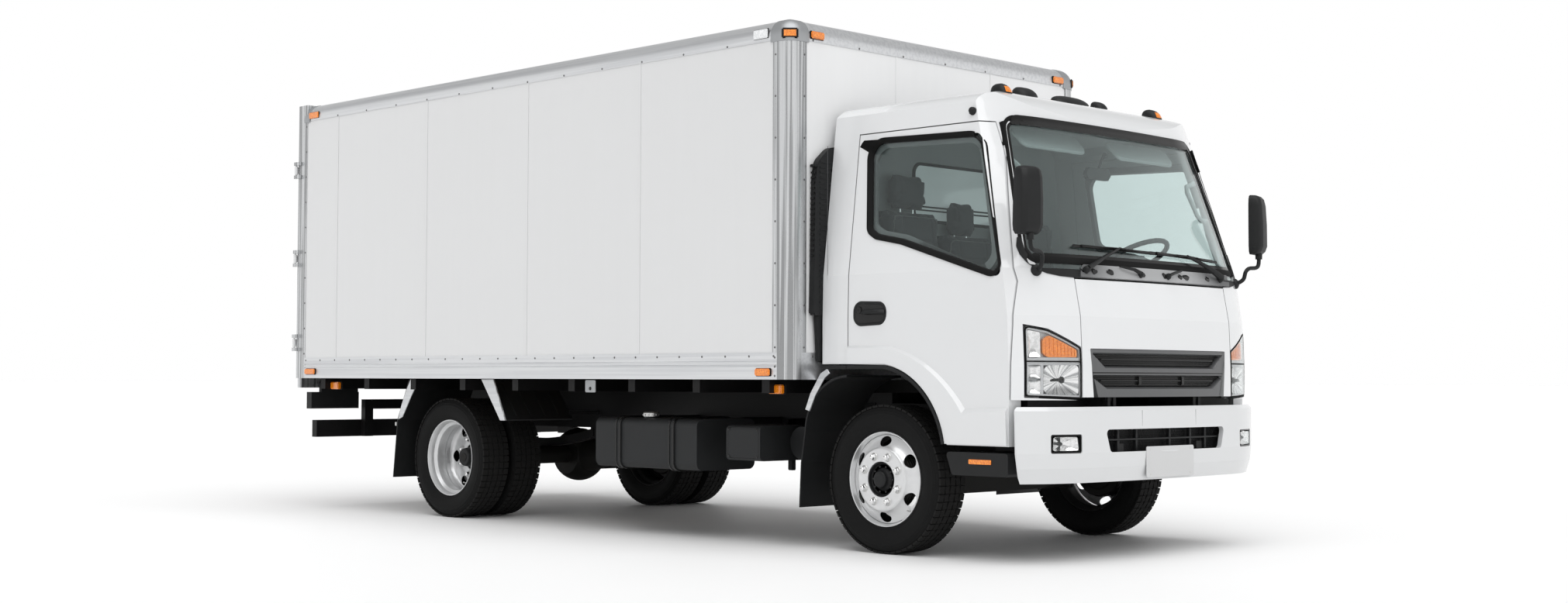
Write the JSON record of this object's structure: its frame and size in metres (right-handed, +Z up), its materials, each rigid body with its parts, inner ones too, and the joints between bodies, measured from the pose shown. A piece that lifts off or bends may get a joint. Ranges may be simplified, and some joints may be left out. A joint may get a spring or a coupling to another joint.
{
  "type": "box truck",
  "caption": "Light cab-over box truck: tilting cab with doors, closed cargo box with two rear doors, steered front axle and twin rear wheels.",
  "frame": {"origin": "on the ground, under the middle of the truck's length and width", "axes": "+X forward, +Y to the truck's left, +Z up"},
  "size_m": [6.6198, 2.644, 2.8979],
  "materials": {
    "aluminium": "satin",
    "black_plastic": "matt, fine grain",
    "box_white": "satin",
    "cab_white": "gloss",
    "cast_iron": "painted",
    "chassis_black": "satin",
    "glass": "tinted, clear",
    "grey_plastic": "satin",
    "interior_grey": "matt",
    "lamp_glass": "clear",
    "plywood": "phenolic faced, non-slip",
    "red_lens": "gloss",
    "seat_fabric": "woven",
    "steel": "zinc plated",
    "tyre": "matt",
    "wheel_silver": "satin metallic"
  },
  "bodies": {
    "chassis": {"frame_rails": "chassis_black", "frame_crossmembers": "chassis_black", "engine": "cast_iron", "exhaust": "steel", "fuel_tank": "chassis_black", "frame_boxes": "black_plastic", "air_tanks": "chassis_black", "front_axle": "cast_iron", "leaf_springs": "chassis_black", "rear_axle": "cast_iron", "mudguards": "black_plastic", "side_steps": "black_plastic", "underrun_bar": "chassis_black", "tail_lamps": "red_lens", "bumper": "cab_white", "fog_lamps": "lamp_glass", "frame_bearers": "chassis_black", "body_subframe": "chassis_black", "cargo_floor": "plywood", "cargo_walls": "box_white", "cargo_roof": "box_white", "lower_rails": "aluminium", "top_rails": "aluminium", "corner_posts": "aluminium", "rear_frame": "aluminium"},
    "cab": {"cab_floor": "interior_grey", "cab_back_panel": "cab_white", "cab_roof": "cab_white", "cab_side_frames": "cab_white", "cab_front_corners": "cab_white", "windscreen": "glass", "cowl": "black_plastic", "headlamps": "lamp_glass", "dashboard": "interior_grey", "seats": "seat_fabric", "mirrors": "black_plastic", "air_intake": "black_plastic"},
    "front_lid": {"front_lid": "cab_white", "grille": "grey_plastic"},
    "steering_wheel": {"steering_wheel": "interior_grey"},
    "tie_rod": {"tie_rod": "cast_iron"},
    "knuckle_right": {"knuckle_right": "cast_iron"},
    "front_wheel_right": {"front_tyre_right": "tyre", "front_wheel_right": "wheel_silver"},
    "rear_wheels_right": {"rear_tyres_right": "tyre", "rear_wheels_right": "wheel_silver"},
    "cab_door_right": {"cab_door_right": "cab_white", "door_glass_right": "glass"},
    "cargo_door_right": {"cargo_door_right": "box_white", "lock_bars_right": "steel"},
    "knuckle_left": {"knuckle_left": "cast_iron"},
    "front_wheel_left": {"front_tyre_left": "tyre", "front_wheel_left": "wheel_silver"},
    "rear_wheels_left": {"rear_tyres_left": "tyre", "rear_wheels_left": "wheel_silver"},
    "cab_door_left": {"cab_door_left": "cab_white", "door_glass_left": "glass"},
    "cargo_door_left": {"cargo_door_left": "box_white", "lock_bars_left": "steel"}
  },
  "joints": [
    {"name": "steer_right", "type": "hinge", "parent": "chassis", "child": "knuckle_right", "pos_m": [2.185, -0.83, 0.397], "axis": [0, 0, 1], "range_deg": [-35, 35]},
    {"name": "steer_left", "type": "hinge", "parent": "chassis", "child": "knuckle_left", "pos_m": [2.185, 0.83, 0.397], "axis": [0, 0, 1], "range_deg": [-35, 35]},
    {"name": "tie_rod_pivot", "type": "hinge", "parent": "knuckle_right", "child": "tie_rod", "pos_m": [2.035, -0.83, 0.299], "axis": [0, 0, 1], "range_deg": [-35, 35]},
    {"name": "steering_wheel_turn", "type": "hinge", "parent": "cab", "child": "steering_wheel", "pos_m": [2.785, 0.5, 1.525], "axis": [-0.4699, 0, 0.8827], "range_deg": [-560, 560]},
    {"name": "front_wheel_spin_right", "type": "hinge", "parent": "knuckle_right", "child": "front_wheel_right", "pos_m": [2.185, -0.912, 0.397], "axis": [0, 1, 0], "continuous": true},
    {"name": "rear_wheels_spin_right", "type": "hinge", "parent": "chassis", "child": "rear_wheels_right", "pos_m": [-1.625, -0.884, 0.397], "axis": [0, 1, 0], "continuous": true},
    {"name": "front_wheel_spin_left", "type": "hinge", "parent": "knuckle_left", "child": "front_wheel_left", "pos_m": [2.185, 0.912, 0.397], "axis": [0, 1, 0], "continuous": true},
    {"name": "rear_wheels_spin_left", "type": "hinge", "parent": "chassis", "child": "rear_wheels_left", "pos_m": [-1.625, 0.884, 0.397], "axis": [0, 1, 0], "continuous": true},
    {"name": "cab_tilt", "type": "hinge", "parent": "chassis", "child": "cab", "pos_m": [3.195, 0, 0.83], "axis": [0, 1, 0], "range_deg": [0, 45]},
    {"name": "front_lid_lift", "type": "hinge", "parent": "cab", "child": "front_lid", "pos_m": [3.233, 0, 1.441], "axis": [0, -1, 0], "range_deg": [0, 60]},
    {"name": "cab_door_swing_right", "type": "hinge", "parent": "cab", "child": "cab_door_right", "pos_m": [3.084, -1.085, 1.2], "axis": [0, 0, 1], "range_deg": [0, 70]},
    {"name": "cab_door_swing_left", "type": "hinge", "parent": "cab", "child": "cab_door_left", "pos_m": [3.084, 1.085, 1.2], "axis": [0, 0, -1], "range_deg": [0, 70]},
    {"name": "cargo_door_swing_right", "type": "hinge", "parent": "chassis", "child": "cargo_door_right", "pos_m": [-3.279, -1.31, 1.8], "axis": [0, 0, 1], "range_deg": [0, 250]},
    {"name": "cargo_door_swing_left", "type": "hinge", "parent": "chassis", "child": "cargo_door_left", "pos_m": [-3.279, 1.31, 1.8], "axis": [0, 0, -1], "range_deg": [0, 250]}
  ],
  "couplings": [
    {"joint": "steer_left", "follows": "steer_right", "ratio": 1},
    {"joint": "tie_rod_pivot", "follows": "steer_right", "ratio": -1},
    {"joint": "steering_wheel_turn", "follows": "steer_right", "ratio": 16}
  ]
}
